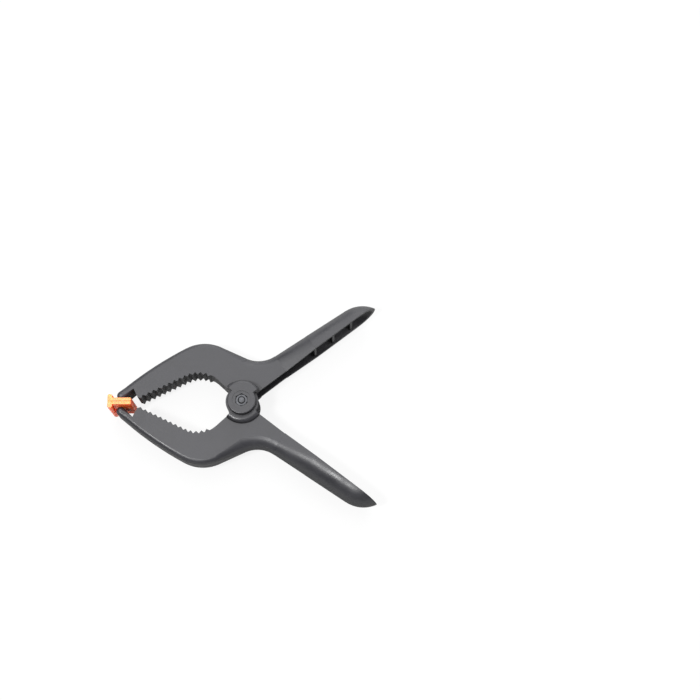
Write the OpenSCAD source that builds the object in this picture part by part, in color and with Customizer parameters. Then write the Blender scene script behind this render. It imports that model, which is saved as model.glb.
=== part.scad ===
// Spring clamp: two moulded nylon arms on one pivot bolt, closed by a torsion
// spring, with a swivelling pad on each jaw. Millimetres. The pivot axis is Z,
// the jaws point along -X and the clamp lies on its side on the plane z = 0.
// Each arm is drawn once, for the arm on the +Y side, about the middle plane
// of the hub, and the other arm is the same moulding turned over.

/* [Jaw outline] */
// Radius of the round jaw tip
tip_r = 3.65; // [3.4:0.05:4.2]
// Distance of the jaw tip's centre from the pivot, along the clamp
tip_x = 106.3; // [100:0.1:112]
// Distance of the jaw tip's centre from the middle line
tip_y = 7; // [6.9:0.1:8]
// Angle of the jaw's outer edge at its tip
tip_ang = 40.2; // [38:0.1:44]
// Length of the straight edge next to the tip
tip_flat = 8.2; // [6:0.1:12]
// Distance of the jaw's shoulder from the pivot, along the clamp
peak_x = 34.6; // [31:0.1:38]
// Height of the jaw's shoulder above the middle line
peak_y = 54.4; // [52:0.1:57]
// Outline radius of the shoulder
peak_r = 34.2; // [30:0.1:38]
// Angle of the edge between shoulder and neck
slope_ang = 22.3; // [18:0.1:26]
// Outline radius of the hollow neck
neck_r = 25.1; // [20:0.1:30]
// Thickness of the flat jaws
jaw_t = 22; // [20:0.5:24]
// Edge rounding at the jaw tip
tip_edge = 3; // [1:0.1:3.3]
// Edge rounding along the jaw's outside
jaw_edge = 4.6; // [3.4:0.1:6]

/* [Jaw throat] */
// Distance of the round throat's centre from the pivot
throat_x = 39.3; // [37:0.1:41]
// Height of the round throat's centre above the middle line
throat_y = 2.3; // [1:0.1:4]
// Radius of the round throat, at the roots of the teeth
throat_r = 25.2; // [23:0.1:26]
// Angle of the toothed edge to the middle line
tooth_ang = 26; // [24:0.5:28]
// Angle of the smooth edge between throat and hub
exit_ang = 43; // [38:1:48]
// Pitch of the teeth
tooth_pitch = 4.96; // [4:0.02:6]
// Height of the teeth
tooth_h = 2.2; // [1.5:0.1:2.6]
// Number of teeth on each jaw
tooth_n = 14; // [8:1:15]
// Distance of the first valley from the pivot, along the clamp
tooth_x = 87.1; // [86:0.1:88]
// Corner of the notch behind the jaw tip, from the pivot
notch_x = 95.3; // [94:0.1:96]
// Height of that corner above the middle line
notch_y = 12.6; // [12:0.1:13.5]

/* [Handle] */
// Angle of the handle's back to the middle line
back_ang = 33.8; // [32:0.1:35]
// Distance of the back line from the pivot
back_off = 21.5; // [20:0.1:23]
// Angle of the open rim to the middle line
rim_ang = 37.5; // [37:0.1:39]
// Distance of the rim plane below the pivot
rim_off = 1; // [0.5:0.1:1.5]
// Height of the handle
handle_h = 32; // [28:0.5:34]
// Wall thickness of the handle
wall = 3; // [2:0.1:4]
// Wall thickness of the neck, beside the spring's leg
neck_wall = 2; // [1.6:0.1:2.2]
// Where the handle reaches its full height, along its back
full_u = 80; // [70:1:90]
// Where the back starts to curve in to the tip
handle_end = 122.8; // [110:0.1:130]
// Outline radius of the handle's end
end_r = 27.4; // [24:0.1:30]
// Number of cross ribs in the channel
rib_n = 3; // [1:1:3]
// Place of the last cross rib, along the back
rib_u = 119; // [112:0.5:122]
// Distance between cross ribs
rib_pitch = 20; // [16:0.5:21]
// Thickness of a cross rib
rib_t = 2.2; // [1.5:0.1:3]
// How far a rib stays behind the open rim
rib_drop = 1.5; // [0.5:0.1:3]

/* [Hub] */
// Height of the hub over both outer ears
hub_h = 41; // [41:0.5:43]
// Radius of the outer ear
ear_r = 12.3; // [11.5:0.1:13]
// Thickness of the outer ear
ear_t = 5.3; // [5:0.1:5.5]
// Edge rounding of the outer ear
ear_edge = 0.8; // [0.3:0.1:1.5]
// Thickness of the inner ear
collar_t = 5; // [4.5:0.1:5.2]
// Radius of the inner ear
collar_r = 14.2; // [13.8:0.1:14.6]
// Radial gap between the inner ear and the boss of the other arm
collar_gap = 0.4; // [0.3:0.1:0.6]
// Radius of the boss beside the outer ear
boss_r = 18.4; // [17.5:0.1:20]
// Radius of the boss beside the inner ear
low_boss_r = 18.9; // [18:0.1:20]
// Edge rounding of the boss
boss_edge = 3.9; // [2:0.1:4]
// Radius of the barrel inside the spring
barrel_r = 6.8; // [6:0.1:7.5]
// Gap between the faces of the two arms
run_gap = 0.2; // [0.1:0.05:0.3]

/* [Pivot] */
// Bolt diameter
bolt_d = 6; // [5:0.5:6.5]
// Radial clearance of the bolt in the arms
bolt_fit = 0.1; // [0.05:0.05:0.1]
// Width across flats of head and nut
flats = 10; // [9.5:0.5:11]
// Height of the bolt head
head_h = 3.2; // [2.5:0.1:3.4]
// Height of the nut
nut_h = 2.8; // [2:0.1:3]
// How far head and nut stay below the ears' faces
sink = 0.5; // [0.2:0.1:0.8]
// Radius of the shallow dish round the nut
dish_r = 8.2; // [7.5:0.1:9]
// Depth of the dish
dish_t = 0.4; // [0.2:0.1:0.6]

/* [Spring] */
// Wire diameter
wire_d = 2.8; // [2.4:0.1:2.8]
// Mean radius of the coil
coil_r = 10; // [9.4:0.1:11]
// Distance between neighbouring turns
coil_pitch = 3.3; // [3.3:0.02:3.4]
// Full turns of the coil
coil_turns = 4; // [3:1:4]
// Where each leg ends, along the handle's back
leg_end = 68; // [55:1:72]

/* [Pads] */
// Length of a pad along the clamp
pad_l = 20.3; // [19:0.1:21]
// Thickness of a pad's plate
pad_t = 3; // [2.6:0.1:3]
// Height of a pad
pad_h = 35; // [30:0.5:38]
// How far the pad reaches past the pin, towards the open end
pad_front = 10.2; // [9.5:0.1:11]
// Length of the lip at the pad's open end
lip_l = 4.2; // [3:0.1:4.4]
// Thickness of the lip
lip_t = 6; // [5:0.1:7]
// Half of the gap between the closed pads
pad_gap = 0.05; // [0.05:0.05:0.1]
// Radius of the eye that holds the pad on its pin
eye_r = 3.1; // [2.8:0.1:3.3]
// Width of the eye, along the pin
eye_w = 8; // [6:0.5:9]
// Diameter of the pad's pin
pin_d = 3; // [2.5:0.1:3.2]
// Radial clearance of the pin in the eye
pin_fit = 0.05; // [0.05:0.01:0.08]

/* [Hidden] */
$fn = 96;
eps = 0.01;
proud = 0.03;
ease = 0.3;
shy = 0.1;
lap = 0.4;
relief = 0.3;
far = 260;
long_fn = 360;
nylon = "#45464a";
orange = "#ee8038";
steel = "#3b3c3e";
spring_steel = "#8d9095";

mid_z = hub_h / 2;
jaw_z = jaw_t / 2;
handle_z = handle_h / 2;
ear_z = mid_z - ear_t;
collar_z = ear_z - run_gap;
well_z = collar_z - collar_t;
well_r = collar_r + collar_gap;
neck_edge = jaw_z - 0.3;
tooth_w = tooth_pitch - 0.3;
slot_r = eye_r + 2.4;

// Unit vector at angle a, and the one square to it on its left.
function along(a) = [cos(a), sin(a)];
function square_to(a) = [-sin(a), cos(a)];

// Jaw outline: round tip, short straight edge, long bow, shoulder, slope, neck.
tip = [-tip_x, tip_y];
shoulder = [-peak_x, peak_y - peak_r];
bow_start = tip + tip_r * square_to(tip_ang) + tip_flat * along(tip_ang);
bow_span = bow_start - shoulder;
bow_r = (bow_span * bow_span - peak_r * peak_r)
      / (2 * (bow_span * square_to(tip_ang) - peak_r));
bow = bow_start - bow_r * square_to(tip_ang);
bow_ang = atan2(bow.x - shoulder.x, shoulder.y - bow.y);
bow_lap = lap / bow_r * 180 / PI;
slope_n = square_to(-slope_ang);
back_n = square_to(back_ang);
slope_off = slope_n * shoulder + peak_r + neck_r;
axis_off = back_off + neck_r;
neck_det = slope_n.x * back_n.y - slope_n.y * back_n.x;
neck = [(slope_off * back_n.y - axis_off * slope_n.y) / neck_det,
        (slope_n.x * axis_off - back_n.x * slope_off) / neck_det];
slope_start = shoulder + peak_r * slope_n;
slope_end = neck - neck_r * slope_n;
slope_l = norm(slope_end - slope_start);
neck_u = neck * along(back_ang);

// Throat outline: toothed line, round throat, smooth exit to the hub.
throat = [-throat_x, throat_y];
arch_start = throat + throat_r * square_to(tooth_ang);
arch_end = throat + throat_r * square_to(-exit_ang);
tooth_l = (arch_start.x + tooth_x) / cos(tooth_ang);
tooth_start = arch_start - tooth_l * along(tooth_ang);
notch = [-notch_x, notch_y];
notch_foot = tooth_start - tooth_pitch * along(tooth_ang);
finger_span = norm(notch - tip);
finger_l = sqrt(finger_span ^ 2 - tip_r ^ 2);
finger_ang = atan2(notch.y - tip.y, notch.x - tip.x) + asin(tip_r / finger_span);
finger_n = -square_to(finger_ang);
exit_n = square_to(-exit_ang);
rim_n = square_to(rim_ang);
exit_off = exit_n * arch_end;
crotch_det = exit_n.x * rim_n.y - exit_n.y * rim_n.x;
crotch = [(exit_off * rim_n.y + rim_off * exit_n.y) / crotch_det,
          (-exit_n.x * rim_off - rim_n.x * exit_off) / crotch_det];

// Handle, in its own frame: u along the back, n out from the pivot. Its round
// back widens from neck_u to full_u and turns round the point end_u, end_n.
flare_l = full_u - neck_u;
flare_ang = atan2(handle_z - jaw_z, flare_l);
flare_n = back_off - jaw_z * cos(flare_ang);
full_n = back_off - handle_z * cos(flare_ang);
flare_run = norm([flare_l, full_n - flare_n]);
flare_tilt = atan2(flare_n - full_n, flare_l);
flare_lead = 3;
end_n = back_off - end_r;
rim_rise = rim_ang - back_ang;
channel_u = 8;
function from_back(u, n) = u * along(back_ang) + n * back_n;
function rim_at(u) = (u * sin(rim_rise) - rim_off) / cos(rim_rise);

// Place and angle of a tooth, s along the root line from the first valley.
function turn(s) = s < tooth_l ? 0 : (s - tooth_l) / throat_r * 180 / PI;
function tooth_at(s) = s < tooth_l
    ? tooth_start + s * along(tooth_ang)
    : throat + throat_r * square_to(tooth_ang - turn(s));

// Torsion spring: each leg leaves the coil on a tangent and ends on the wall of
// its channel. The path runs from the upper leg's end to the lower leg's end.
wire_r = wire_d / 2;
leg_part = (leg_end - neck_u) / (full_u - neck_u);
leg_bore = (jaw_z - neck_wall) * (1 - leg_part) + (handle_z - wall) * leg_part;
leg_axis = flare_n * (1 - leg_part) + full_n * leg_part;
coil_half = coil_pitch * coil_turns / 2 + 0.5;
leg_n = leg_axis + sqrt((leg_bore - wire_r) ^ 2 - coil_half ^ 2) - 0.05;
leg_reach = norm([leg_end, leg_n]);
leg_l = sqrt(leg_reach ^ 2 - coil_r ^ 2);
leg_ang = back_ang + atan2(leg_n, leg_end) - atan2(coil_r, leg_l);
coil_from = leg_ang + 90;
coil_sweep = 360 * coil_turns + 360 - 2 * coil_from;

// Spring path, as points along the wire. The rings of the tube stand on it.
curl_rings = 8;
wire_sides = 6;
coil_steps = round(coil_sweep / 360 * curl_rings);
leg_steps = 3;
function upper_leg(k) = let(t = 1 - k / leg_steps)
    [coil_r * cos(coil_from) + t * leg_l * cos(leg_ang),
     coil_r * sin(coil_from) + t * leg_l * sin(leg_ang), coil_half];
function coil_at(k) = let(a = coil_from + coil_sweep * k / coil_steps)
    [coil_r * cos(a), coil_r * sin(a), coil_half - 2 * coil_half * k / coil_steps];
wire_path = concat(
    [for (k = [0 : leg_steps - 1]) upper_leg(k)],
    [for (k = [0 : coil_steps]) coil_at(k)],
    [for (k = [leg_steps - 1 : -1 : 0]) let(p = upper_leg(k)) [p.x, -p.y, -p.z]]);
wire_n = len(wire_path);
function heading(i) =
    let(d = wire_path[min(i + 1, wire_n - 1)] - wire_path[max(i - 1, 0)]) d / norm(d);
function wire_ring(i) =
    let(d = heading(i), h = norm([d.x, d.y]), a = [-d.y / h, d.x / h, 0], b = cross(d, a))
    [for (k = [0 : wire_sides - 1])
        wire_path[i] + wire_r * (cos(360 * k / wire_sides) * a + sin(360 * k / wire_sides) * b)];
wire_points = [for (i = [0 : wire_n - 1]) each wire_ring(i)];
wire_faces = concat(
    [for (i = [0 : wire_n - 2], k = [0 : wire_sides - 1])
        let(a = i * wire_sides, j = (k + 1) % wire_sides)
        each [[a + k, a + j, a + j + wire_sides], [a + k, a + j + wire_sides, a + k + wire_sides]]],
    [for (k = [1 : wire_sides - 2]) [0, k + 1, k]],
    [for (k = [1 : wire_sides - 2])
        let(a = (wire_n - 1) * wire_sides) [a, a + k, a + k + 1]]);

// Least gap between rings that are at least half a turn apart along the wire.
wire_gap = min([for (i = [0 : wire_n - 1], j = [i + curl_rings / 2 : 1 : wire_n - 1],
                     p = wire_ring(i), q = wire_ring(j)) norm(p - q)]);

// The part of a disc between its chord and its arc, from angle a down to b.
module bulge(centre, r, a, b, fn) {
    past = r + 6;
    low = r * cos((a - b) / 2) - 1;
    intersection() {
        translate(centre) circle(r, $fn = fn);
        polygon([
            centre + r * square_to(a),
            centre + past * square_to(a),
            centre + past * square_to(b),
            centre + r * square_to(b),
            centre + low * square_to((a + b) / 2)
        ]);
    }
}

// An upright slab of the jaw's thickness, with more added when it cuts.
module slab(more = 0) {
    linear_extrude(jaw_t + more, center = true) children();
}

// One tooth, pointing down from the root line y = 0.
module tooth() {
    slab() polygon([[-tooth_w / 2, 0.3], [-tooth_w / 2, 0], [0, -tooth_h],
                    [tooth_w / 2, 0], [tooth_w / 2, 0.3]]);
}

// Jaw and neck with square edges.
module jaw_blank() {
    difference() {
        union() {
            slab() polygon([
                tip + tip_r * square_to(tip_ang),
                bow_start,
                shoulder + peak_r * square_to(bow_ang),
                slope_start,
                slope_end,
                from_back(neck_u, back_off),
                from_back(neck_u, rim_at(neck_u) + relief),
                crotch,
                arch_end,
                arch_start,
                notch_foot,
                notch,
                tip + tip_r * finger_n,
                tip
            ]);
            slab() translate(tip) circle(tip_r);
            slab() bulge(bow, bow_r, tip_ang, bow_ang, long_fn);
            slab() bulge(shoulder, peak_r, bow_ang, -slope_ang, $fn);
        }
        slab(2) bulge(neck, neck_r, 180 - slope_ang, 180 + back_ang, $fn);
        slab(2) bulge(throat, throat_r, tooth_ang, -exit_ang, $fn);
    }
    for (i = [0 : tooth_n - 1]) {
        s = (i - 0.5) * tooth_pitch;
        translate(tooth_at(s)) rotate(tooth_ang - turn(s)) tooth();
    }
}

// Cutter that rounds a straight edge of length l, from radius r0 to r1. The
// edge runs along X, the outer face is y = 0 and the top face is z = 0.
module edge_cone(r0, r1, l) {
    grow = r1 - r0;
    run = norm([l, grow, grow]);
    taper = asin(grow / run);
    past = 2;
    more = past * grow / (run * cos(taper));
    difference() {
        intersection() {
            translate([0, 0, -r1 - 2])
                linear_extrude(r1 + 4) polygon([[0, -r0], [l, -r1], [l, 1], [0, 1]]);
            translate([0, 2, 0]) rotate([90, 0, 0])
                linear_extrude(r1 + 4) polygon([[0, -r0], [l, -r1], [l, 1], [0, 1]]);
        }
        translate([0, proud - r0, proud - r0])
            rotate([0, acos(-grow / run), atan2(-grow, l)])
            translate([0, 0, -past])
                cylinder(h = run + 2 * past, r1 = r0 / cos(taper) - more,
                         r2 = r1 / cos(taper) + more);
    }
}

// Cutter that rounds the top edge of a round outline, from angle a up to b.
// A hollow outline has the material outside the radius.
module edge_ring(centre, r_out, r, a, b, hollow, fn) {
    mid = hollow ? r_out + r : r_out - r;
    translate([centre.x, centre.y, 0]) rotate(a)
        rotate_extrude(angle = b - a, $fn = fn)
            difference() {
                translate([hollow ? r_out - 1 : mid, -r]) square([r + 1, r + 1]);
                translate([hollow ? mid - proud : mid + proud, proud - r]) circle(r);
            }
}

// Rounds one round edge of the solid it is given, at the jaw's top face.
module less_ring(centre, r_out, r, a, b, hollow = false, fn = $fn) {
    difference() {
        children();
        translate([0, 0, jaw_z]) edge_ring(centre, r_out, r, a, b, hollow, fn);
    }
}

// Rounds one straight edge that starts at p and runs at angle a.
module less_cone(p, a, r0, r1, l) {
    difference() {
        children();
        translate([p.x, p.y, jaw_z]) rotate(a) edge_cone(r0, r1, l);
    }
}

// Rounds the top edges of the jaw, round its tip and all along its outside.
module rounded_top() {
    less_cone(notch, finger_ang + 180, 0.5, tip_edge - ease, finger_l + lap)
        less_ring(tip, tip_r, tip_edge, tip_ang + 90, finger_ang + 270)
        less_cone(tip + tip_r * square_to(tip_ang) - lap * along(tip_ang), tip_ang,
                  tip_edge - ease, jaw_edge, tip_flat + lap)
        less_ring(bow, bow_r, jaw_edge - ease, bow_ang + 90 - bow_lap, tip_ang + 90 + bow_lap,
                  false, long_fn)
        less_ring(shoulder, peak_r, jaw_edge, 90 - slope_ang, bow_ang + 90)
        less_cone(slope_start - lap * along(-slope_ang), -slope_ang,
                  jaw_edge - ease, neck_edge, slope_l + lap)
        less_ring(neck, neck_r, neck_edge - ease, 269 - slope_ang, 272 + back_ang, true)
        children();
}

module jaw() {
    rounded_top() mirror([0, 0, 1]) rounded_top() jaw_blank();
}

// Half space on the handle's side of the open rim, lifted by d.
module above_rim(d) {
    rotate(rim_ang) translate([-far / 2, d - rim_off, -far / 2]) cube([far * 1.5, far, far]);
}

// The handle's round back and flat sides, drawn with radius r0 at the neck and
// r1 where it has its full height. It is drawn once for the outside and once,
// smaller, for the channel. Each length sits a hair inside the next one.
module handle_form(r0, r1, lead, start) {
    low = r1 - shy;
    rotate(back_ang) {
        translate([neck_u, flare_n, 0]) rotate([0, 90, -flare_tilt])
            translate([0, 0, -lead])
                cylinder(h = flare_run + lead, r1 = r0 - (low - r0) * lead / flare_run, r2 = low);
        translate([full_u - 0.5, back_off - handle_z, 0]) rotate([0, 90, 0])
            cylinder(h = handle_end - full_u + 0.5, r = r1);
        translate([handle_end, end_n, 0]) rotate(-2)
            rotate_extrude(angle = 92)
                intersection() {
                    translate([end_r - handle_z, 0]) circle(low);
                    translate([end_r - handle_z, -r1]) square([r1, 2 * r1]);
                }
        intersection() {
            translate([0, 0, -handle_z - 1]) linear_extrude(handle_h + 2)
                polygon([[start, flare_n], [full_u, full_n], [handle_end, full_n],
                         [handle_end, -handle_h], [start, -handle_h]]);
            translate([0, back_off, 0]) rotate([90, 0, 0]) linear_extrude(handle_h * 2)
                polygon([
                    [start, r0 - proud],
                    [full_u, low - proud],
                    [full_u, r1 - proud],
                    [handle_end, r1 - proud],
                    [handle_end, proud - r1],
                    [full_u, proud - r1],
                    [full_u, proud - low],
                    [start, proud - r0]
                ]);
        }
    }
}

// Cross ribs that stiffen the channel.
module ribs() {
    intersection() {
        rotate(back_ang)
            for (i = [0 : rib_n - 1])
                translate([rib_u - i * rib_pitch, -handle_h, -handle_z])
                    cube([rib_t, 3 * handle_h, handle_h]);
        above_rim(rib_drop);
    }
}

module channel() {
    bore = jaw_z - neck_wall;
    difference() {
        handle_form(bore + relief, handle_z - wall, 0, neck_u - lap);
        ribs();
    }
    rotate(back_ang) {
        translate([channel_u, flare_n, 0]) rotate([0, 90, 0])
            cylinder(h = neck_u - channel_u + 3, r = bore);
        translate([channel_u, flare_n - handle_h, -bore])
            cube([neck_u - channel_u + 1, handle_h, 2 * bore]);
    }
}

// Round solid with a rounded top edge, from z0 up to z1.
module rounded_disc(r, edge, z0, z1) {
    rotate_extrude() {
        translate([0, z0]) square([r, z1 - z0 - edge]);
        translate([0, z0]) square([r - edge, z1 - z0]);
        translate([r - edge, z1 - edge]) circle(edge);
    }
}

// Bosses that carry the two ears, on the arm's own side only.
module bosses() {
    half = (180 - exit_ang - rim_ang) / 2;
    intersection() {
        union() {
            rounded_disc(boss_r, boss_edge, 0, mid_z);
            mirror([0, 0, 1]) rounded_disc(low_boss_r, boss_edge, 0, collar_z);
        }
        translate(relief / sin(half) * along(rim_ang + half))
            linear_extrude(hub_h + 2, center = true) polygon([
                crotch,
                crotch + 2 * boss_r * along(rim_ang),
                crotch + 2 * boss_r * square_to(0),
                crotch + 2 * boss_r * along(180 - exit_ang)
            ]);
    }
}

module hexagon(r_flat, h) {
    rotate(30) cylinder(h = h, r = r_flat / cos(30), $fn = 6);
}

// One arm, with its outer ear on top and its inner ear below.
module arm() {
    difference() {
        union() {
            difference() {
                union() {
                    jaw();
                    intersection() {
                        handle_form(jaw_z, handle_z, flare_lead, neck_u);
                        above_rim(0);
                    }
                    bosses();
                }
                translate([0, 0, -well_z]) cylinder(h = well_z + ear_z, r = well_r);
                channel();
            }
            rounded_disc(ear_r, ear_edge, ear_z, mid_z);
            translate([0, 0, -collar_z]) cylinder(h = collar_t, r = collar_r);
            translate([0, 0, -collar_z]) cylinder(h = collar_z - run_gap / 2, r = barrel_r);
        }
        cylinder(h = hub_h + 1, r = bolt_d / 2 + bolt_fit, center = true);
        translate(tip) cylinder(h = jaw_t + 1, r = pin_d / 2 + 0.02, center = true);
        translate(tip) cylinder(h = eye_w + 0.4, r = slot_r, center = true);
    }
}

module upper_arm() {
    color(nylon) translate([0, 0, mid_z]) difference() {
        arm();
        translate([0, 0, mid_z - dish_t]) cylinder(h = 1, r = dish_r);
        translate([0, 0, mid_z - sink - dish_t - nut_h]) hexagon(flats / 2 + 0.1, far);
    }
}

module lower_arm() {
    color(nylon) translate([0, 0, mid_z]) rotate([180, 0, 0]) difference() {
        arm();
        translate([0, 0, mid_z - sink - head_h - 0.1])
            cylinder(h = far, r = flats / 2 / cos(30) + 0.3);
    }
}

// Hexagon bolt: head below, turning freely in the lower arm.
module pivot_bolt() {
    shank = hub_h - 2 * sink - dish_t + 0.4;
    color(steel) translate([0, 0, sink]) {
        hexagon(flats / 2, head_h);
        cylinder(h = shank, r = bolt_d / 2);
    }
}

// Nut, held by its flats in the upper arm's pocket.
module pivot_nut() {
    color(steel) translate([0, 0, hub_h - sink - dish_t - nut_h]) difference() {
        hexagon(flats / 2, nut_h);
        translate([0, 0, -1]) cylinder(h = nut_h + 2, r = bolt_d / 2 + 0.02);
    }
}

module torsion_spring() {
    color(spring_steel) translate([0, 0, mid_z])
        polyhedron(points = wire_points, faces = wire_faces, convexity = 10);
}

// One pad, for the arm on the +Y side. Its gripping face lies on the middle line.
module pad() {
    front = tip.x - pad_front;
    round_r = 1.5;
    difference() {
        union() {
            linear_extrude(pad_h, center = true) {
                translate([front, pad_gap]) square([pad_l, pad_t]);
                translate([front, pad_gap]) square([lip_l, lip_t - round_r]);
                translate([front + round_r, pad_gap]) square([lip_l - round_r * 2, lip_t]);
                for (x = [round_r, lip_l - round_r])
                    translate([front + x, pad_gap + lip_t - round_r]) circle(round_r);
            }
            translate([tip.x - eye_r, pad_gap + pad_t - eps, -eye_w / 2])
                cube([2 * eye_r, tip.y - pad_gap - pad_t, eye_w]);
            translate([tip.x, tip.y, -eye_w / 2]) cylinder(h = eye_w, r = eye_r);
        }
        translate([tip.x, tip.y, 0])
            cylinder(h = eye_w + 2, r = pin_d / 2 + pin_fit, center = true);
    }
}

module upper_pad() {
    color(orange) translate([0, 0, mid_z]) pad();
}

module lower_pad() {
    color(orange) translate([0, 0, mid_z]) rotate([180, 0, 0]) pad();
}

module pad_pin() {
    color(steel) translate([tip.x, tip.y, 0])
        cylinder(h = jaw_t - 1.2, r = pin_d / 2, center = true);
}

module upper_pad_pin() {
    translate([0, 0, mid_z]) pad_pin();
}

module lower_pad_pin() {
    translate([0, 0, mid_z]) rotate([180, 0, 0]) pad_pin();
}

echo(spring_gap = wire_gap, neck = neck, bow_r = bow_r, leg_ang = leg_ang);

upper_arm();
lower_arm();
upper_pad();
lower_pad();
upper_pad_pin();
lower_pad_pin();
pivot_bolt();
pivot_nut();
torsion_spring();
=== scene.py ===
"""Looks of a moulded nylon spring clamp: its materials, its grip pads, its wound spring, its
bolt and nut, and the stage."""

import math

import bmesh
import bpy
import numpy as np
from bpy.props import FloatProperty, FloatVectorProperty, IntProperty, PointerProperty
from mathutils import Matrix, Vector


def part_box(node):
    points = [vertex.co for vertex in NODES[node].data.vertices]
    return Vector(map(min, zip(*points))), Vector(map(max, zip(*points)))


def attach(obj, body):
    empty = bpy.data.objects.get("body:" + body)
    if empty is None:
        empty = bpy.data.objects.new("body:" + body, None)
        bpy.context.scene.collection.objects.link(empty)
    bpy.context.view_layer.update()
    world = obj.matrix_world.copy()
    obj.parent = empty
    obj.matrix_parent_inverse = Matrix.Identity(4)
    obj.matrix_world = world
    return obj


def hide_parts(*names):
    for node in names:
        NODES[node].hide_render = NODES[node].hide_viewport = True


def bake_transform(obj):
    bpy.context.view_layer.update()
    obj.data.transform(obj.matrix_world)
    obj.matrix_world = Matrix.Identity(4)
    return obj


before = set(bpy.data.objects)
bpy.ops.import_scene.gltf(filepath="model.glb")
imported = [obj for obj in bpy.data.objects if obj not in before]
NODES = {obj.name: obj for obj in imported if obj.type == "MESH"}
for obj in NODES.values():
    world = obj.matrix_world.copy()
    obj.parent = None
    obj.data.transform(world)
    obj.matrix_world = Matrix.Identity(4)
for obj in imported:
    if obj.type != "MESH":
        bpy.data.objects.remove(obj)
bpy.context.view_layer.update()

bl_info = {
    "name": "Spring Clamp Looks",
    "version": (1, 0, 0),
    "blender": (4, 5, 0),
    "location": "View3D > Sidebar > Clamp",
    "description": "Materials, spring, bolt, nut and stage of a nylon spring clamp",
    "category": "Object",
}

MM = 0.001
HUB_LOW, HUB_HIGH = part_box("lower_arm")[0].z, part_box("upper_arm")[1].z
MID_Z = (HUB_LOW + HUB_HIGH) / 2

# Meshes: distances within which points are joined, in metres, and angles in degrees.
TRIANGLE_MERGE = 1e-6
SEAM_MERGE = 1e-7
FLAT_ANGLE = 1
ROUNDED_ANGLE = 40
ROUNDED_SEGMENTS = 3
WIRE_SHARP_ANGLE = 50
FASTENER_SHARP_ANGLE = 28

# Spring: points along a leg, a whole turn and the part turn, sides round the wire, and the
# chamfer at its ends.
LEG_POINTS = 13
TURN_POINTS = 40
PART_TURN_POINTS = 33
WIRE_SIDES = 18
WIRE_CHAMFER = 0.3 * MM

# Bolt and nut: how finely they are drawn, and shapes as angles and shares.
ROUND_POINTS = 96
CHAMFER_RINGS = 5
CHAMFER_ANGLE = 30      # degrees
FACE_CIRCLE = 0.475     # radius of the flat end, as a share of the width over the flats
THREAD_DEPTH = 0.54     # share of the pitch

# Bolt and nut: sizes in metres.
HEAD_HEIGHT = 3.2 * MM
SHANK_GAP = 0.02 * MM       # from the head's last ring to the shank's first
THREAD_START = 3 * MM       # below the nut
THREAD_GAP = 0.05 * MM      # from the plain shank's end to the thread's first ring
THREAD_STOP = 0.6 * MM      # below the bolt's end
TIP_HEIGHT = 0.5 * MM       # of the cone that ends the bolt
TIP_INSET = 0.1 * MM        # of the cone's foot from the shank's radius
TIP_NARROWING = 0.6 * MM    # of the cone's top from the shank's radius
BORE_PLAY = 0.02 * MM       # between the thread and the nut's bore
BORE_CHAMFER = 0.35 * MM

# Stage: the floor in metres, the world's strength on the object, and the lamps, each a name,
# a place and a side in metres, and a power in watts.
FLOOR_HALF = 3.0
FLOOR_POINTS = 13
WORLD_LEVEL = 0.15
LAMPS = (
    ("softbox_back", (0.05, 0.85, 1.35), 2.0, 29.0),
    ("softbox_low", (0.05, 1.9, 0.5), 1.2, 8.0),
    ("softbox_key", (-0.5, -0.35, 1.4), 0.24, 16.0),
    ("softbox_side", (1.5, -0.1, 0.7), 0.9, 7.0),
)

# Camera: place and nearest distance in metres, angles in degrees, lens and sensor in
# millimetres.
CAMERA_PLACE = (0.0931, -0.2621, 1.0905)
CAMERA_ELEVATION = 73.72
CAMERA_AZIMUTH = 0.18
CAMERA_NEAREST = 0.05
FOCAL_LENGTH = 64.286
SENSOR_WIDTH = 36.0


# --- Colours and nodes -------------------------------------------------------

def linear(code):
    """Linear red, green and blue of an sRGB hex colour, by the sRGB transfer curve."""
    levels = [int(code[k:k + 2], 16) / 255 for k in (1, 3, 5)]
    return tuple(c / 12.92 if c <= 0.04045 else ((c + 0.055) / 1.055) ** 2.4 for c in levels)


def add_node(tree, kind, inputs=None, links=None, **settings):
    """Adds a node, sets its properties and input values, and links its inputs from other
    sockets."""
    node = tree.nodes.new(kind)
    for name, value in settings.items():
        setattr(node, name, value)
    for name, value in (inputs or {}).items():
        node.inputs[name].default_value = value
    for name, socket in (links or {}).items():
        tree.links.new(socket, node.inputs[name])
    return node


def new_material(name):
    """An empty node material with an output and Object coordinates to paint by."""
    material = bpy.data.materials.new(name)
    material.use_nodes = True
    tree = material.node_tree
    tree.nodes.clear()
    coords = add_node(tree, "ShaderNodeTexCoord").outputs["Object"]
    output = add_node(tree, "ShaderNodeOutputMaterial")
    return material, tree, coords, output


def per_metre(size_mm):
    """Noise scale whose features are about size_mm across, on coordinates in metres."""
    return 1.0 / (size_mm * MM)


def shade(colour, factor):
    """The colour times a factor, with an alpha of one."""
    return tuple(c * factor for c in colour[:3]) + (1.0,)


def broad_faces(tree, low, high):
    """Share from 0 to 1 of how far a surface faces along the pivot's axis: the size of the
    normal's Z, stretched between the two limits."""
    facing = add_node(tree, "ShaderNodeTexCoord").outputs["Normal"]
    along = add_node(tree, "ShaderNodeSeparateXYZ", None, {"Vector": facing}).outputs["Z"]
    size = add_node(tree, "ShaderNodeMath", None, {0: along}, operation="ABSOLUTE")
    share = add_node(tree, "ShaderNodeMapRange", {"From Min": low, "From Max": high},
                     {"Value": size.outputs["Value"]})
    return share.outputs["Result"]


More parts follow.
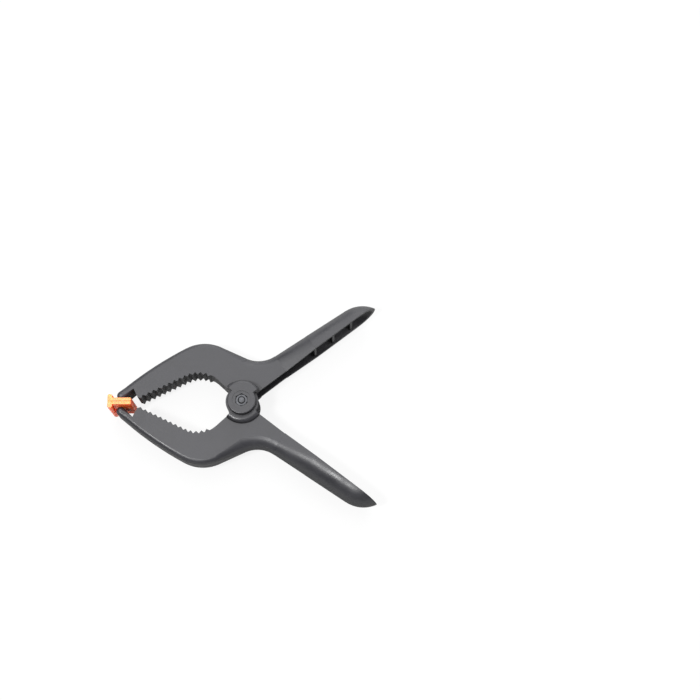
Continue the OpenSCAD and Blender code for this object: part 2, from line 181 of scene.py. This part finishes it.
def moulded_nylon(looks):
    """Glass-filled nylon 6, moulded black: spark-eroded tool skin of about 0.3 mm grain,
    drawn coarser so that it shows, and cloudy flow marks a few centimetres long. The
    broad faces have a satin sheen, while the walls that the mould drew along, whose
    normals lie level, are rougher and have their colour darkened as painted shade."""
    material, tree, coords, output = new_material("glass_filled_nylon_moulded")
    colour = looks.nylon_colour
    speck_share = 0.45    # of the specks in the tone, beside the clouds
    coarse_share = 1.5    # of the specks in the relief, beside the fine skin
    unshaded_satin_share = broad_faces(tree, low=0.25, high=0.8)
    clouds = add_node(tree, "ShaderNodeTexNoise", {"Scale": per_metre(26), "Detail": 3.0,
                      "Roughness": 0.55, "Distortion": 0.4}, {"Vector": coords})
    specks = add_node(tree, "ShaderNodeTexNoise", {"Scale": per_metre(1.6), "Detail": 4.0,
                      "Roughness": 0.7}, {"Vector": coords})
    skin = add_node(tree, "ShaderNodeTexNoise", {"Scale": per_metre(0.55), "Detail": 2.0,
                    "Roughness": 0.6}, {"Vector": coords})
    blend = add_node(tree, "ShaderNodeMath", {1: speck_share},
                     {0: specks.outputs["Fac"], 2: clouds.outputs["Fac"]},
                     operation="MULTIPLY_ADD")
    tone = add_node(tree, "ShaderNodeValToRGB", None, {"Fac": blend.outputs["Value"]})
    tone.color_ramp.elements[0].position = 0.50
    tone.color_ramp.elements[0].color = shade(colour, 0.86)
    tone.color_ramp.elements[1].position = 0.95
    tone.color_ramp.elements[1].color = shade(colour, 1.16)
    # Painted shade: walls whose normals lie level have their colour darkened to the wall tone's
    # share.
    painted_shade_factor = add_node(tree, "ShaderNodeMapRange", {"To Min": looks.wall_painted_shade}, {"Value": unshaded_satin_share})
    tone_painted_shade = add_node(tree, "ShaderNodeVectorMath", None,
                       {0: tone.outputs["Color"], "Scale": painted_shade_factor.outputs["Result"]},
                       operation="SCALE")
    satin = add_node(tree, "ShaderNodeMapRange",
                     {"From Min": 0.5, "From Max": 0.95,
                      "To Min": looks.nylon_roughness - 0.08,
                      "To Max": looks.nylon_roughness + 0.1},
                     {"Value": blend.outputs["Value"]})
    rough = add_node(tree, "ShaderNodeMapRange", {"To Min": looks.wall_roughness},
                     {"Value": unshaded_satin_share, "To Max": satin.outputs["Result"]})
    grain = add_node(tree, "ShaderNodeMath", {1: coarse_share},
                     {0: specks.outputs["Fac"], 2: skin.outputs["Fac"]},
                     operation="MULTIPLY_ADD")
    bump = add_node(tree, "ShaderNodeBump", {"Strength": 0.3, "Distance": 0.12 * MM},
                    {"Height": grain.outputs["Value"]})
    shader = add_node(tree, "ShaderNodeBsdfPrincipled", {"IOR": 1.53},
                      {"Base Color": tone_painted_shade.outputs["Vector"],
                       "Roughness": rough.outputs["Result"], "Normal": bump.outputs["Normal"]})
    tree.links.new(shader.outputs["BSDF"], output.inputs["Surface"])
    return material


def soft_grip(looks):
    """Thermoplastic elastomer, moulded orange: satin, a little cloudy, with light scattered
    in the first millimetres below its skin. Its ends, which face along the pivot's axis,
    are painted paler as painted light, and its gripping sides are the pad's orange
    deepened to a red orange as painted shade."""
    material, tree, coords, output = new_material("thermoplastic_elastomer_moulded")
    # Painted light: the faces along the pivot's axis get the paler colour, and the gripping sides
    # keep the deeper one as painted shade.
    ends = broad_faces(tree, low=0.5, high=0.95)
    clouds = add_node(tree, "ShaderNodeTexNoise", {"Scale": per_metre(9), "Detail": 3.0,
                      "Roughness": 0.5}, {"Vector": coords})
    skin = add_node(tree, "ShaderNodeTexNoise", {"Scale": per_metre(0.5), "Detail": 2.0},
                    {"Vector": coords})
    base = add_node(tree, "ShaderNodeMix", None, {"Factor": ends}, data_type="RGBA")
    base.inputs["A"].default_value = shade(looks.pad_colour, 1.0)
    base.inputs["B"].default_value = shade(looks.pad_painted_light_colour, 1.0)
    cloudy = add_node(tree, "ShaderNodeMapRange", {"From Min": 0.3, "From Max": 0.7,
                      "To Min": 0.9, "To Max": 1.06}, {"Value": clouds.outputs["Fac"]})
    tone = add_node(tree, "ShaderNodeVectorMath", None,
                    {0: base.outputs["Result"], "Scale": cloudy.outputs["Result"]},
                    operation="SCALE")
    bump = add_node(tree, "ShaderNodeBump", {"Strength": 0.12, "Distance": 0.1 * MM},
                    {"Height": skin.outputs["Fac"]})
    shader = add_node(tree, "ShaderNodeBsdfPrincipled",
                      {"IOR": 1.5, "Roughness": looks.pad_roughness,
                       "Subsurface Weight": 0.5, "Subsurface Scale": 2.2 * MM,
                       "Subsurface Radius": (1.0, 0.3, 0.1)},
                      {"Base Color": tone.outputs["Vector"], "Normal": bump.outputs["Normal"]})
    tree.links.new(shader.outputs["BSDF"], output.inputs["Surface"])
    return material


def blackened_steel(looks):
    """Steel fastener with a black oxide finish: dull and slightly uneven, worn paler in
    spots of a few millimetres."""
    material, tree, coords, output = new_material("black_oxide_steel_turned")
    colour = looks.steel_colour
    wear = add_node(tree, "ShaderNodeTexNoise", {"Scale": per_metre(3), "Detail": 5.0,
                    "Roughness": 0.65}, {"Vector": coords})
    tone = add_node(tree, "ShaderNodeValToRGB", None, {"Fac": wear.outputs["Fac"]})
    tone.color_ramp.elements[0].position = 0.4
    tone.color_ramp.elements[0].color = shade(colour, 0.8)
    tone.color_ramp.elements[1].position = 0.72
    tone.color_ramp.elements[1].color = shade(colour, 1.7)
    rough = add_node(tree, "ShaderNodeMapRange", {"From Min": 0.3, "From Max": 0.7,
                     "To Min": 0.38, "To Max": 0.55}, {"Value": wear.outputs["Fac"]})
    shader = add_node(tree, "ShaderNodeBsdfPrincipled", {"Metallic": 1.0},
                      {"Base Color": tone.outputs["Color"], "Roughness": rough.outputs["Result"]})
    tree.links.new(shader.outputs["BSDF"], output.inputs["Surface"])
    return material


def spring_wire_steel(looks):
    """Patented carbon steel wire, drawn and oiled: grey with faint draw lines, seen as
    streaks along the wire. They follow the UV map, in metres along and round the wire, and
    are about 45 mm long and 6 mm wide, drawn coarse so that they show."""
    material, tree, _, output = new_material("patented_steel_drawn")
    colour = looks.wire_colour
    along_wire = add_node(tree, "ShaderNodeUVMap", uv_map="wire").outputs["UV"]
    stretched = add_node(tree, "ShaderNodeMapping", {"Scale": (22.0, 180.0, 1.0)},
                         {"Vector": along_wire})
    streaks = add_node(tree, "ShaderNodeTexNoise", {"Scale": 1.0, "Detail": 3.0},
                       {"Vector": stretched.outputs["Vector"]})
    tone = add_node(tree, "ShaderNodeValToRGB", None, {"Fac": streaks.outputs["Fac"]})
    tone.color_ramp.elements[0].position = 0.35
    tone.color_ramp.elements[0].color = shade(colour, 0.7)
    tone.color_ramp.elements[1].position = 0.7
    tone.color_ramp.elements[1].color = shade(colour, 1.15)
    shader = add_node(tree, "ShaderNodeBsdfPrincipled", {"Metallic": 1.0, "Roughness": 0.34},
                      {"Base Color": tone.outputs["Color"]})
    tree.links.new(shader.outputs["BSDF"], output.inputs["Surface"])
    return material


def paper_sweep(looks):
    """Matt white studio paper. Camera rays see it mostly as plain white, and wholly so from
    1.2 m out. The rest keeps the soft shadow under the clamp. Mirror and transmission rays
    see a smaller share of plain white."""
    material, tree, coords, output = new_material("studio_paper_matt")
    distance = add_node(tree, "ShaderNodeVectorMath", None, {0: coords}, operation="LENGTH")
    far = add_node(tree, "ShaderNodeMapRange", {"From Min": 0.3, "From Max": 1.2,
                   "To Min": looks.sweep_glow, "To Max": 1.0},
                   {"Value": distance.outputs["Value"]})
    path = add_node(tree, "ShaderNodeLightPath")
    mirrored = add_node(tree, "ShaderNodeMath", None,
                        {0: path.outputs["Is Glossy Ray"], 1: path.outputs["Is Transmission Ray"]},
                        operation="MAXIMUM")
    mirrored = add_node(tree, "ShaderNodeMath", {1: looks.mirror_glow},
                        {0: mirrored.outputs["Value"]}, operation="MULTIPLY")
    share = add_node(tree, "ShaderNodeMath", None,
                     {0: path.outputs["Is Camera Ray"], 1: far.outputs["Result"],
                      2: mirrored.outputs["Value"]}, operation="MULTIPLY_ADD")
    paper = add_node(tree, "ShaderNodeBsdfDiffuse", {"Color": linear("#e8e8e8") + (1.0,)})
    glow = add_node(tree, "ShaderNodeEmission", {"Strength": 1.0})
    mixed = add_node(tree, "ShaderNodeMixShader", None,
                     {0: share.outputs["Value"], 1: paper.outputs["BSDF"],
                      2: glow.outputs["Emission"]})
    tree.links.new(mixed.outputs["Shader"], output.inputs["Surface"])
    return material


def dress(obj, material):
    """Gives every material slot of an object the one material."""
    obj.data.materials.clear()
    obj.data.materials.append(material)


# --- Surfaces on grids -------------------------------------------------------

def grid_object(name, points, across_closed=True, caps=True):
    """Object from a grid of points: n rings of m points each. Each quad joins two
    neighbours on one ring to the same two on the next. Caps close the first and last ring."""
    n, m = points.shape[:2]
    cols = m if across_closed else m - 1
    i, j = np.meshgrid(np.arange(n - 1), np.arange(cols), indexing="ij")
    j_next = (j + 1) % m
    quads = np.stack([i * m + j, i * m + j_next, (i + 1) * m + j_next, (i + 1) * m + j],
                     axis=-1).reshape(-1, 4)
    faces = quads.tolist()
    if caps:
        faces.append(list(range(m - 1, -1, -1)))
        faces.append([(n - 1) * m + k for k in range(m)])
    mesh = bpy.data.meshes.new(name)
    mesh.from_pydata(points.reshape(-1, 3).tolist(), [], faces)
    mesh.update()
    mesh.polygons.foreach_set("use_smooth", np.ones(len(mesh.polygons), bool))
    obj = bpy.data.objects.new(name, mesh)
    bpy.context.scene.collection.objects.link(obj)
    return obj


def weld(obj):
    """Joins the doubled points of a surface that closes on itself."""
    work = bmesh.new()
    work.from_mesh(obj.data)
    bmesh.ops.remove_doubles(work, verts=work.verts, dist=SEAM_MERGE)
    work.to_mesh(obj.data)
    work.free()


def sharpen(obj, degrees):
    """Splits the shading at every edge whose faces turn by more than the angle."""
    obj.data.set_sharp_from_angle(angle=math.radians(degrees))


def softened(node, name, width):
    """Copy of a CAD piece with its loose triangles merged and its flat faces made whole,
    and with each edge of more than 40 degrees rounded to the given width."""
    mesh = NODES[node].data.copy()
    work = bmesh.new()
    work.from_mesh(mesh)
    bmesh.ops.remove_doubles(work, verts=work.verts, dist=TRIANGLE_MERGE)
    bmesh.ops.dissolve_limit(work, angle_limit=math.radians(FLAT_ANGLE),
                             verts=work.verts, edges=work.edges)
    work.to_mesh(mesh)
    work.free()
    mesh.polygons.foreach_set("use_smooth", np.ones(len(mesh.polygons), bool))
    obj = bpy.data.objects.new(name, mesh)
    bpy.context.scene.collection.objects.link(obj)
    bevel = obj.modifiers.new("rounded_edges", "BEVEL")
    bevel.width = width
    bevel.segments = ROUNDED_SEGMENTS
    bevel.limit_method = "ANGLE"
    bevel.angle_limit = math.radians(ROUNDED_ANGLE)
    bevel.harden_normals = True
    return obj


# --- The spring --------------------------------------------------------------

def spring_path(looks):
    """Centre line of the wire: a straight leg, a helix of constant pitch about the pivot,
    and a second straight leg. Each leg leaves the coil on its tangent, so a leg point is
    the coil's end plus a distance along (cos a, sin a), and the lower half is the upper
    one turned over about the X axis."""
    r = looks.coil_radius
    half = looks.coil_height / 2
    a = looks.leg_angle
    start = a + math.pi / 2
    sweep = 2 * math.pi * looks.coil_turns + 2 * math.pi - 2 * start
    t = np.linspace(1, 0, LEG_POINTS)[:-1, None]
    leg = np.hstack([
        r * math.cos(start) + t * looks.leg_length * math.cos(a),
        r * math.sin(start) + t * looks.leg_length * math.sin(a),
        np.full_like(t, half)])
    s = np.linspace(0, 1, TURN_POINTS * looks.coil_turns + PART_TURN_POINTS)
    coil = np.stack([r * np.cos(start + sweep * s), r * np.sin(start + sweep * s),
                     half * (1 - 2 * s)], axis=1)
    end = leg[::-1] * (1, -1, -1)
    return np.vstack([leg, coil, end]) + (0, 0, MID_Z)


def tube(name, path, radius, sides, chamfer):
    """Tube round a path. Each ring stands square to the path's unit heading h there, at
    radius times (cos v) a + (sin v) b, where a is the level unit vector along (-hy, hx, 0)
    and b = h x a. The ends are chamfered: the end rings move in along the path by the
    chamfer, and one more ring, narrower by as much, stands at each end of the path. The UV
    map holds the metres run along the path and round the tube."""
    heading = np.gradient(path, axis=0)
    heading /= np.linalg.norm(heading, axis=1, keepdims=True)
    level = np.stack([-heading[:, 1], heading[:, 0], np.zeros(len(path))], axis=1)
    level /= np.linalg.norm(level, axis=1, keepdims=True)
    up = np.cross(heading, level)
    v = np.linspace(0, 2 * math.pi, sides, endpoint=False)
    ring = (np.cos(v)[None, :, None] * level[:, None, :]
            + np.sin(v)[None, :, None] * up[:, None, :])
    points = path[:, None, :] + radius * ring
    first = path[0] + (radius - chamfer) * ring[0]
    last = path[-1] + (radius - chamfer) * ring[-1]
    points[0] += chamfer * heading[0]
    points[-1] -= chamfer * heading[-1]
    points = np.concatenate([first[None], points, last[None]])
    obj = grid_object(name, points)
    steps = np.linalg.norm(np.diff(points.mean(axis=1), axis=0), axis=1)
    run = np.concatenate([[0], np.cumsum(steps)])
    layer = obj.data.uv_layers.new(name="wire")
    index = np.zeros(len(obj.data.loops), np.int32)
    obj.data.loops.foreach_get("vertex_index", index)
    turn = (index % sides) / sides
    uv = np.stack([run[index // sides], turn * 2 * math.pi * radius], axis=1)
    layer.data.foreach_set("uv", uv.astype(np.float32).ravel())
    sharpen(obj, WIRE_SHARP_ANGLE)
    return obj


# --- Bolt and nut ------------------------------------------------------------

def ring_points(angle, radius, z):
    """Points (r cos a, r sin a, z) round the pivot's axis. Radius and height are one number,
    or one for each angle, or grids with a row for each ring."""
    x, y = radius * np.cos(angle), radius * np.sin(angle)
    return np.stack([x, y, z + 0 * x], axis=-1)


def hex_radius(angle, flats):
    """Distance from the axis to a regular hexagon's side, at each angle: half the width over
    the flats, divided by the cosine of the angle from the nearest flat's middle."""
    nearest = (angle + math.pi / 6) % (math.pi / 3) - math.pi / 6
    return flats / 2 / np.cos(nearest)


def hex_rings(angle, flats, height, inner, chamfer_top, chamfer_low):
    """Rings of a hexagon prism on z from 0 to height, whose ends have a round hole of the
    inner radius. A chamfered end slopes by 30 degrees outside a circle a little smaller than
    the flats, so its corners are cut by a cone."""
    outer = hex_radius(angle, flats)
    circle = FACE_CIRCLE * flats
    slope = math.tan(math.radians(CHAMFER_ANGLE))
    rings = []
    shares = np.linspace(0, 1, CHAMFER_RINGS)
    for z_end, cut, order in ((0.0, chamfer_low, shares), (height, chamfer_top, shares[::-1])):
        band = []
        for share in order:
            r = circle + (outer - circle) * share
            drop = (r - circle) * slope if cut else 0 * r
            z = z_end + drop if z_end == 0.0 else z_end - drop
            band.append(ring_points(angle, r, z))
        hole = ring_points(angle, inner, z_end)
        rings += [hole] + band if z_end == 0.0 else band + [hole]
    return rings


def thread_rings(angle, low, high, radius, depth, pitch, per_turn=8):
    """Rings of a threaded shank: the radius falls and rises as a triangle wave of
    z/pitch - angle/2pi, which draws one right-hand helix, and fades out at both ends."""
    count = max(4, int((high - low) / pitch * per_turn))
    z = np.linspace(low, high, count)[:, None]
    phase = (z / pitch - angle[None, :] / (2 * math.pi)) % 1
    wave = np.abs(phase - 0.5) * 2
    fade = np.clip(np.minimum(z - low, high - z) / pitch, 0, 1)
    r = radius - depth * wave * fade
    return list(ring_points(angle, r, z))


# --- Settings ----------------------------------------------------------------

class ClampLooks(bpy.types.PropertyGroup):
    """Sizes and colours of the clamp's looks."""

    nylon_colour: FloatVectorProperty(name="Nylon", description="Colour of the moulded arms",
                                      subtype="COLOR", size=3, default=linear("#333337"))
    nylon_roughness: FloatProperty(name="Nylon roughness", description="Roughness of the arms",
                                   default=0.38, min=0.1, max=0.9)
    wall_roughness: FloatProperty(name="Wall roughness",
                                  description="Roughness of the drawn walls",
                                  default=0.66, min=0.1, max=0.9)
    # Painted shade: share of the nylon colour kept by the walls whose normals lie level.
    wall_painted_shade: FloatProperty(name="Wall tone", description="Tone of the walls beside the faces",
                             default=0.36, min=0.1, max=1.0)
    # The pads' orange, deepened to red orange on the gripping sides as painted shade.
    pad_colour: FloatVectorProperty(name="Pads", description="Colour of the grip pads",
                                    subtype="COLOR", size=3, default=linear("#f4622c"))
    # Painted light: paler colour of the pads' faces along the pivot's axis.
    pad_painted_light_colour: FloatVectorProperty(name="Pad ends", description="Colour of the pads' ends",
                                        subtype="COLOR", size=3, default=linear("#ffae6c"))
    pad_roughness: FloatProperty(name="Pad roughness", description="Roughness of the pads",
                                 default=0.48, min=0.1, max=0.9)
    pad_edge: FloatProperty(name="Pad edge", description="Width of the pads' rounded edges",
                            default=0.35 * MM, unit="LENGTH")
    steel_colour: FloatVectorProperty(name="Fasteners", description="Colour of bolt, nut and pins",
                                      subtype="COLOR", size=3, default=linear("#525356"))
    wire_colour: FloatVectorProperty(name="Spring wire", description="Colour of the spring",
                                     subtype="COLOR", size=3, default=linear("#8b8c8f"))
    wire_diameter: FloatProperty(name="Wire", description="Diameter of the spring's wire",
                                 default=2.8 * MM, unit="LENGTH")
    coil_radius: FloatProperty(name="Coil radius", description="Mean radius of the coil",
                               default=10 * MM, unit="LENGTH")
    coil_height: FloatProperty(name="Coil height", description="Height between the two legs",
                               default=14.2 * MM, unit="LENGTH")
    coil_turns: IntProperty(name="Turns", description="Whole turns of the coil", default=4)
    leg_length: FloatProperty(name="Leg", description="Length of each straight leg",
                              default=68.843 * MM, unit="LENGTH")
    leg_angle: FloatProperty(name="Leg angle", description="Angle of the upper leg at rest",
                             default=math.radians(37.713), subtype="ANGLE")
    flats: FloatProperty(name="Flats", description="Width over the flats of bolt and nut",
                         default=10 * MM, unit="LENGTH")
    bolt_diameter: FloatProperty(name="Bolt", description="Thread diameter of the bolt",
                                 default=6 * MM, unit="LENGTH")
    thread_pitch: FloatProperty(name="Pitch", description="Thread pitch of the bolt",
                                default=1 * MM, unit="LENGTH")
    sweep_glow: FloatProperty(name="Paper white", description="Share of plain white in the floor",
                              default=0.86, min=0.0, max=1.0)
    mirror_glow: FloatProperty(name="Mirrored white", description="The same share in reflections",
                               default=0.2, min=0.0, max=1.0)


# --- Operators ---------------------------------------------------------------

class CLAMP_OT_arms(bpy.types.Operator):
    """Finishes both arms as moulded glass-filled nylon."""

    bl_idname = "clamp.arms"
    bl_label = "Nylon Arms"

    def execute(self, context):
        material = moulded_nylon(context.scene.clamp_looks)
        for name in ("upper_arm", "lower_arm"):
            dress(NODES[name], material)
        return {"FINISHED"}


class CLAMP_OT_pads(bpy.types.Operator):
    """Rounds the edges of both swivelling grip pads and finishes them as orange elastomer."""

    bl_idname = "clamp.pads"
    bl_label = "Grip Pads"

    def execute(self, context):
        looks = context.scene.clamp_looks
        material = soft_grip(looks)
        for side, node in (("far", "upper_pad"), ("near", "lower_pad")):
            pad = softened(node, side + "_grip_pad", looks.pad_edge)
            dress(pad, material)
            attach(pad, side + "_pad")
            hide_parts(node)
        return {"FINISHED"}


class CLAMP_OT_spring(bpy.types.Operator):
    """Winds the torsion spring."""

    bl_idname = "clamp.spring"
    bl_label = "Torsion Spring"

    def execute(self, context):
        looks = context.scene.clamp_looks
        radius = looks.wire_diameter / 2
        spring = tube("torsion_spring_wire", spring_path(looks), radius, WIRE_SIDES,
                      WIRE_CHAMFER)
        dress(spring, spring_wire_steel(looks))
        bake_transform(spring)
        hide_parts("torsion_spring")
        return {"FINISHED"}


class CLAMP_OT_fasteners(bpy.types.Operator):
    """Makes the hexagon bolt and nut, with chamfered corners and a cut thread, and
    finishes the pads' pins."""

    bl_idname = "clamp.fasteners"
    bl_label = "Bolt, Nut and Pins"

    def execute(self, context):
        looks = context.scene.clamp_looks
        steel = blackened_steel(looks)
        for name in ("upper_pad_pin", "lower_pad_pin"):
            dress(NODES[name], steel)

        angle = np.linspace(0, 2 * math.pi, ROUND_POINTS, endpoint=False)
        low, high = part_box("pivot_bolt")
        nut_low, nut_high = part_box("pivot_nut")
        r = looks.bolt_diameter / 2
        depth = THREAD_DEPTH * looks.thread_pitch
        head = hex_rings(angle, looks.flats, HEAD_HEIGHT, r, chamfer_top=False, chamfer_low=True)
        head = [ring + (0, 0, low.z) for ring in head]
        thread_low = nut_low.z - THREAD_START
        shank = [ring_points(angle, r, low.z + HEAD_HEIGHT + SHANK_GAP),
                 ring_points(angle, r, thread_low)]
        thread = thread_rings(angle, thread_low + THREAD_GAP, high.z - THREAD_STOP, r, depth,
                              looks.thread_pitch)
        tip = [ring_points(angle, r - TIP_INSET, high.z - TIP_HEIGHT),
               ring_points(angle, r - TIP_NARROWING, high.z)]
        bolt = grid_object("hexagon_bolt", np.array(head + shank + thread + tip))
        sharpen(bolt, FASTENER_SHARP_ANGLE)
        dress(bolt, steel)
        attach(bolt, "far_arm")
        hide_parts("pivot_bolt")

        height = nut_high.z - nut_low.z
        bore = r + BORE_PLAY
        rings = hex_rings(angle, looks.flats, height, bore + BORE_CHAMFER,
                          chamfer_top=True, chamfer_low=False)
        rings = [ring_points(angle, bore, BORE_CHAMFER)] + rings
        rings += [ring_points(angle, bore, height - BORE_CHAMFER), rings[0]]
        nut = grid_object("hexagon_nut", np.array(rings) + (0, 0, nut_low.z), caps=False)
        weld(nut)
        sharpen(nut, FASTENER_SHARP_ANGLE)
        dress(nut, steel)
        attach(nut, "far_arm")
        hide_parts("pivot_nut")
        return {"FINISHED"}


class CLAMP_OT_stage(bpy.types.Operator):
    """Sets the paper floor, the soft lamps, the world and the camera."""

    bl_idname = "clamp.stage"
    bl_label = "Stage"

    def execute(self, context):
        looks = context.scene.clamp_looks
        scene = context.scene
        side = np.linspace(-FLOOR_HALF, FLOOR_HALF, FLOOR_POINTS)
        y, x = np.meshgrid(side, side, indexing="ij")
        floor = grid_object("paper_floor", np.stack([x, y, 0 * x], axis=-1),
                            across_closed=False, caps=False)
        dress(floor, paper_sweep(looks))

        # A lamp shines along its own -Z, which is turned from its place towards the origin.
        for name, place, size, power in LAMPS:
            lamp = bpy.data.lights.new(name, "AREA")
            lamp.shape = "SQUARE"
            lamp.size = size
            lamp.energy = power
            obj = bpy.data.objects.new(name, lamp)
            obj.location = place
            aim = -np.array(place)
            aim /= np.linalg.norm(aim)
            obj.rotation_euler = (math.acos(-aim[2]), 0, math.atan2(aim[0], -aim[1]) + math.pi)
            scene.collection.objects.link(obj)

        world = bpy.data.worlds.new("white_surround")
        world.use_nodes = True
        tree = world.node_tree
        tree.nodes.clear()
        path = add_node(tree, "ShaderNodeLightPath")
        level = add_node(tree, "ShaderNodeMapRange", {"To Min": WORLD_LEVEL, "To Max": 1.0},
                         {"Value": path.outputs["Is Camera Ray"]})
        back = add_node(tree, "ShaderNodeBackground", {"Color": (1.0, 1.0, 1.0, 1.0)},
                        {"Strength": level.outputs["Result"]})
        output = add_node(tree, "ShaderNodeOutputWorld")
        tree.links.new(back.outputs["Background"], output.inputs["Surface"])
        scene.world = world

        lens = bpy.data.cameras.new("camera")
        lens.sensor_width = SENSOR_WIDTH
        lens.lens = FOCAL_LENGTH
        lens.clip_start = CAMERA_NEAREST
        camera = bpy.data.objects.new("camera", lens)
        camera.location = CAMERA_PLACE
        camera.rotation_euler = (math.radians(90 - CAMERA_ELEVATION), 0,
                                 math.radians(-CAMERA_AZIMUTH))
        scene.collection.objects.link(camera)
        scene.camera = camera
        scene.view_settings.view_transform = "Standard"
        return {"FINISHED"}


class CLAMP_PT_looks(bpy.types.Panel):
    """Lists the clamp's settings and the steps that dress it."""

    bl_idname = "CLAMP_PT_looks"
    bl_label = "Spring Clamp"
    bl_space_type = "VIEW_3D"
    bl_region_type = "UI"
    bl_category = "Clamp"

    def draw(self, context):
        looks = context.scene.clamp_looks
        for name in ClampLooks.__annotations__:
            self.layout.prop(looks, name)
        for step in STEPS:
            self.layout.operator(step.bl_idname)


STEPS = (CLAMP_OT_arms, CLAMP_OT_pads, CLAMP_OT_spring, CLAMP_OT_fasteners, CLAMP_OT_stage)


def register():
    """Registers the classes and the scene's settings."""
    for item in (ClampLooks,) + STEPS + (CLAMP_PT_looks,):
        bpy.utils.register_class(item)
    bpy.types.Scene.clamp_looks = PointerProperty(type=ClampLooks)


def unregister():
    """Takes the settings and the classes out again."""
    del bpy.types.Scene.clamp_looks
    for item in (CLAMP_PT_looks,) + STEPS[::-1] + (ClampLooks,):
        bpy.utils.unregister_class(item)


def main():
    """Dresses the clamp step by step."""
    register()
    bpy.ops.clamp.arms()
    bpy.ops.clamp.pads()
    bpy.ops.clamp.spring()
    bpy.ops.clamp.fasteners()
    bpy.ops.clamp.stage()


if __name__ == "__main__":
    main()
